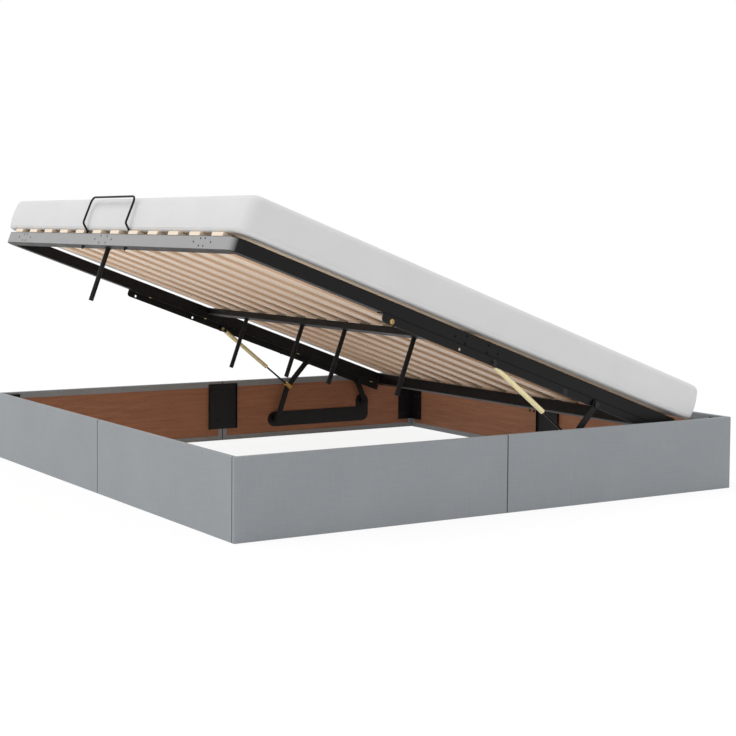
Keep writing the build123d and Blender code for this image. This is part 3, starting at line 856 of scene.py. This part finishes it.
def base_screw_places():
    """Where the screws of the corner plates, joiner plates, lift brackets and head board sit."""
    places = []
    for side_x in (-1, 1):
        for side_y in (-1, 1):
            for z in CORNER_HEIGHTS:
                for reach in CORNER_REACHES:
                    end = (side_x * (INNER_X - reach), side_y * (INNER_Y - CORNER_STEEL), z)
                    side = (side_x * (INNER_X - CORNER_STEEL), side_y * (INNER_Y - reach), z)
                    places.append((end, frame_of((0.0, -side_y, 0.0))))
                    places.append((side, frame_of((-side_x, 0.0, 0.0))))
    for reach in JOINER_REACHES:
        for z in JOINER_HEIGHTS:
            for sign in (-1, 1):
                places.append(((sign * (INNER_X - JOINER_STEEL), reach, z),
                               frame_of((-sign, 0.0, 0.0))))
                places.append(((reach, sign * (INNER_Y - JOINER_STEEL), z),
                               frame_of((0.0, -sign, 0.0))))
    for sign in (-1, 1):
        for y in BRACKET_Y:
            for z in BRACKET_Z:
                places.append(((sign * BRACKET_FACE, y, z), frame_of((-sign, 0.0, 0.0))))
    for x in HEAD_BOARD_SCREWS_X:
        places.append(((x, INNER_Y, HEAD_BOARD_SCREWS_Z), frame_of((0.0, -1.0, 0.0))))
    return places


class BED_OT_fasteners(bpy.types.Operator):
    """Set the screws of the base plates, lift brackets and angle irons, and the bolts' washers"""

    bl_idname = "bed.fasteners"
    bl_label = "Fasteners"

    def execute(self, context):
        head = context.scene.bed_sizes.screw_head
        new_piece("base_screws", *copies(pan_head(head), base_screw_places()), "base",
                  "black_steel", smooth=True)

        screws, washers, nuts, eyelets = [], [], [], []
        for side in (-1, 1):
            for s in ANGLE_SCREWS_S:
                screws.append((on_platform(side * ANGLE_SCREWS_X, s, ANGLE_SCREWS_N),
                               frame_of(-UPWARD)))
            outward = frame_of((side, 0.0, 0.0))
            for s in (ANGLE_BOLT_S, GAS_PIVOT_S):
                washers.append((on_platform(side * ANGLE_FACE, s, ANGLE_HOLES_N), outward))
            nuts.append((on_platform(side * NUT_FACE, GAS_PIVOT_S, ANGLE_HOLES_N), outward))
            eyelets.append((on_platform(side * ANGLE_FACE, ANGLE_EYELET_S, ANGLE_HOLES_N), outward))
        new_piece("angle_screws", *copies(pan_head(head * 1.2), screws), "platform", "bare_steel",
                  smooth=True)
        rings = copies(washer(inner=0.0058, outer=0.0125, thickness=0.0010), washers)
        bolts = joined([rings, copies(hexagon_nut(size=0.0085, height=0.0042), nuts)])
        new_piece("bolt_washers", *bolts, "platform", "bare_steel", finish="black_bolt")
        rings = copies(washer(inner=0.0050, outer=0.0088, thickness=0.0012), eyelets)
        new_piece("angle_eyelets", *rings, "platform", "gold_brass", smooth=True)
        return {"FINISHED"}


# Stage
SEEN_GLOW = 0.88                    # how much of the floor is plain white where it is seen
SUN_SIZE = radians(35)
SUN_PLACE = Vector((-0.1, -0.3, 0.95))

# The camera, as it was solved from the photograph: its place in metres, its lens in millimetres,
# how far its picture is shifted, and how far it is turned from +Y to -X, down and to its side
CAMERA_PLACE = (5.100, -3.255, 0.956)
CAMERA_LENS, CAMERA_SENSOR = 76.65, 36.0
CAMERA_SHIFT = (0.0818, -0.0818)
CAMERA_AROUND, CAMERA_DOWN, CAMERA_ROLL = radians(58.81), radians(3.04), radians(0.35)


def seen_directly(owner):
    """1 for rays from the camera, also mirrored or through glass, and 0 for all other light."""
    ray = add(owner, "ShaderNodeLightPath").outputs
    seen = maths(owner, "MAXIMUM", ray["Is Camera Ray"], ray["Is Glossy Ray"])
    return maths(owner, "MAXIMUM", seen, ray["Is Transmission Ray"])


def white_floor(light):
    """A white floor that keeps the bed's shadow."""
    material = new_material("white_studio_floor")
    # a brightly lit floor throws light up under the platform, so a share of it glows for all rays
    share = to_range(material, seen_directly(material), (0.0, 1.0), (light.floor_glow, SEEN_GLOW))
    painted = add(material, "ShaderNodeBsdfDiffuse", {"Color": linear("#FAFAFA")})
    white = add(material, "ShaderNodeEmission", {"Color": linear("#FFFFFF"), "Strength": 1.0})
    finish_with(material, add(material, "ShaderNodeMixShader",
                              {0: share, 1: painted.outputs[0], 2: white.outputs[0]}))

    # the floor is a shallow dish, so its far rim meets the white background softly
    dish = ((14.0, 0.5), (11.0, 0.12), (9.0, 0.0), (0.5, 0.0))
    vertices, faces = stacked([ring_round(reach, height, 96) for reach, height in dish])
    mesh = bpy.data.meshes.new("studio_floor")
    mesh.from_pydata([(x, y, z - 0.0005) for x, y, z in vertices], [], faces)
    mesh.materials.append(material)
    floor = bpy.data.objects.new("studio_floor", mesh)
    bpy.context.scene.collection.objects.link(floor)


def studio_sky(light):
    """An even light all round, with a white background."""
    world = bpy.data.worlds.new("studio_sky")
    world.use_nodes = True
    world.node_tree.nodes.clear()
    strength = to_range(world, seen_directly(world), (0.0, 1.0), (light.sky_strength, 1.0))
    sky = add(world, "ShaderNodeBackground", {"Color": linear("#FFFFFF"), "Strength": strength})
    add(world, "ShaderNodeOutputWorld", {"Surface": sky.outputs[0]})
    bpy.context.scene.world = world


def key_sun(light):
    """A soft sun, high and from the foot end."""
    key = bpy.data.lights.new("key_sun", "SUN")
    key.energy, key.angle = light.key_strength, SUN_SIZE
    sun = bpy.data.objects.new("key_sun", key)
    sun.rotation_euler = SUN_PLACE.to_track_quat("Z", "Y").to_euler()
    bpy.context.scene.collection.objects.link(sun)


def photo_camera():
    """The camera that was solved from the photograph."""
    view = bpy.data.cameras.new("photo_camera")
    view.sensor_width, view.lens = CAMERA_SENSOR, CAMERA_LENS
    view.shift_x, view.shift_y = CAMERA_SHIFT
    view.clip_end = 60.0
    around, down, roll = CAMERA_AROUND, CAMERA_DOWN, CAMERA_ROLL
    forward = Vector((-sin(around) * cos(down), cos(around) * cos(down), -sin(down)))
    right = forward.cross(Vector((0.0, 0.0, 1.0))).normalized()
    up = right.cross(forward)
    right, up = right * cos(roll) + up * sin(roll), up * cos(roll) - right * sin(roll)
    turn = Matrix((right, up, -forward)).transposed().to_4x4()
    camera = bpy.data.objects.new("photo_camera", view)
    camera.matrix_world = Matrix.Translation(CAMERA_PLACE) @ turn
    bpy.context.scene.collection.objects.link(camera)
    bpy.context.scene.camera = camera


class BED_OT_stage(bpy.types.Operator):
    """Make the floor, the lights and the camera"""

    bl_idname = "bed.stage"
    bl_label = "Stage"

    def execute(self, context):
        light = context.scene.bed_scene
        white_floor(light)
        studio_sky(light)
        key_sun(light)
        photo_camera()
        context.scene.view_settings.view_transform = "Standard"
        return {"FINISHED"}


STEPS = (BED_OT_base, BED_OT_lift, BED_OT_frame, BED_OT_slats, BED_OT_fasteners, BED_OT_mattress,
         BED_OT_stage)


class BED_PT_panel(bpy.types.Panel):
    """Buttons and sizes of the storage bed"""

    bl_label = "Storage bed"
    bl_idname = "BED_PT_panel"
    bl_space_type = "VIEW_3D"
    bl_region_type = "UI"
    bl_category = "Storage bed"

    def draw(self, context):
        scene = context.scene
        for group in (scene.bed_sizes, scene.bed_colours, scene.bed_scene):
            box = self.layout.box()
            for name in group.__annotations__:
                box.prop(group, name)
        for step in STEPS:
            self.layout.operator(step.bl_idname)


CLASSES = (BedSizes, BedColours, BedScene, *STEPS, BED_PT_panel)


def register():
    """Makes the classes and the scene's settings known."""
    for one in CLASSES:
        bpy.utils.register_class(one)
    bpy.types.Scene.bed_sizes = bpy.props.PointerProperty(type=BedSizes)
    bpy.types.Scene.bed_colours = bpy.props.PointerProperty(type=BedColours)
    bpy.types.Scene.bed_scene = bpy.props.PointerProperty(type=BedScene)


def unregister():
    """Takes them away again."""
    del bpy.types.Scene.bed_scene, bpy.types.Scene.bed_colours, bpy.types.Scene.bed_sizes
    for one in reversed(CLASSES):
        bpy.utils.unregister_class(one)


def main():
    """Runs every step in order."""
    register()
    for step in STEPS:
        group, name = step.bl_idname.split(".")
        getattr(getattr(bpy.ops, group), name)()


if __name__ == "__main__":
    main()
